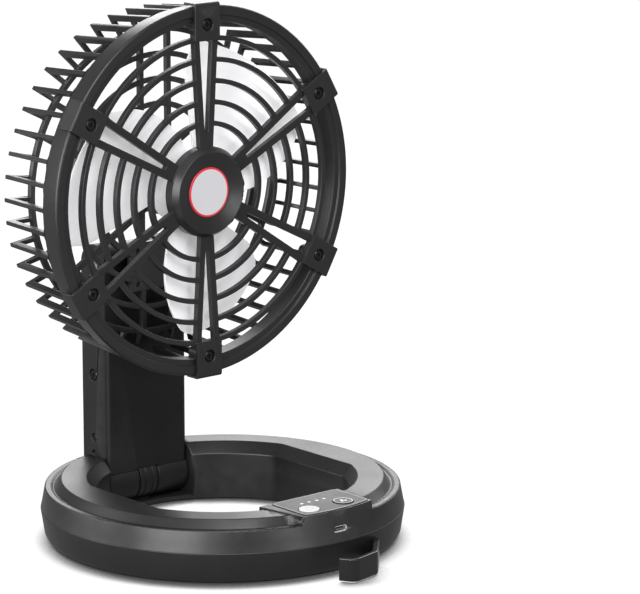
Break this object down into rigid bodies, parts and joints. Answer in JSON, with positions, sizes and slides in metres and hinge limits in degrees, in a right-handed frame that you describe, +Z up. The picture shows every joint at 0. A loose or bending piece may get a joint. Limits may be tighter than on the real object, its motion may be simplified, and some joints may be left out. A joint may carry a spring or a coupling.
{
  "type": "folding desk fan",
  "caption": "Folding desk fan: a guarded round fan head on a hinged arm over a ring-shaped base with a control panel, charging socket and hanging hook.",
  "frame": {"origin": "centre of the base ring on the surface that the fan stands on", "axes": "+Z up; the fan blows towards -Y; +X is to the right of someone who faces the fan's front; the arm's hinge lies along X at the back (+Y)"},
  "size_m": [0.193, 0.2095, 0.2778],
  "materials": {
    "black_shell": "satin moulded ABS, fine spark texture",
    "black_gloss": "glossier moulded ABS",
    "panel_film": "dark printed film",
    "white_button": "white moulded plastic",
    "clear_window": "clear light guide",
    "foot_rubber": "soft foot strip",
    "dark_screw": "black-plated steel",
    "steel": "turned steel",
    "bronze": "sintered bronze",
    "bright_metal": "nickel-plated shell",
    "cell_can": "sleeved cell, mean density near aluminium's",
    "board": "glass-fibre board with solder mask",
    "nylon": "nylon",
    "badge": "plain printed disc with a red rim",
    "blade_plastic": "milky translucent plastic"
  },
  "bodies": {
    "base": {"base_lower_shell": "black_shell", "base_upper_shell": "black_shell", "foot_ring": "foot_rubber", "base_screws": "dark_screw", "battery_cells": "cell_can", "control_board": "board", "board_screws": "dark_screw", "usb_socket": "bright_metal", "led_windows": "clear_window", "panel_label": "panel_film", "hanging_hook": "black_gloss", "base_hinge_bracket": "black_shell", "bracket_screws": "dark_screw", "base_hinge_pin": "steel", "base_hinge_washers": "nylon"},
    "light_button": {"light_button": "white_button"},
    "fan_button": {"fan_button": "black_gloss"},
    "arm": {"arm_rear_shell": "black_shell", "arm_front_cover": "black_shell", "arm_screws": "dark_screw", "head_hinge_pin": "steel"},
    "head": {"rear_guard": "black_shell", "front_grille": "black_shell", "grille_screws": "dark_screw", "hub_badge": "badge", "head_hinge_bracket": "black_shell", "head_hinge_washers": "nylon", "head_bracket_screws": "dark_screw", "motor_can": "steel", "motor_end_plate": "white_button", "motor_bushings": "bronze", "motor_screws": "dark_screw", "motor_rear_cap": "black_shell"},
    "impeller": {"fan_blades": "blade_plastic", "motor_shaft": "steel", "motor_rotor": "steel"}
  },
  "joints": [
    {"name": "arm_fold", "type": "hinge", "parent": "base", "child": "arm", "pos_m": [0, 0.074, 0.016], "axis": [1, 0, 0], "range_deg": [0, 90]},
    {"name": "head_tilt", "type": "hinge", "parent": "arm", "child": "head", "pos_m": [0, 0.074, 0.13485], "axis": [1, 0, 0], "range_deg": [-180, 0]},
    {"name": "fan_spin", "type": "hinge", "parent": "head", "child": "impeller", "pos_m": [0, 0.0097, 0.1797], "axis": [0, 1, 0], "continuous": true},
    {"name": "light_button_press", "type": "slide", "parent": "base", "child": "light_button", "axis": [0, 0, -1], "range_m": [0, 0.0006], "stiffness_N_per_m": 400},
    {"name": "fan_button_press", "type": "slide", "parent": "base", "child": "fan_button", "axis": [0, 0, -1], "range_m": [0, 0.0006], "stiffness_N_per_m": 400}
  ],
  "couplings": [
    {"joint": "head_tilt", "follows": "arm_fold", "ratio": -2}
  ]
}
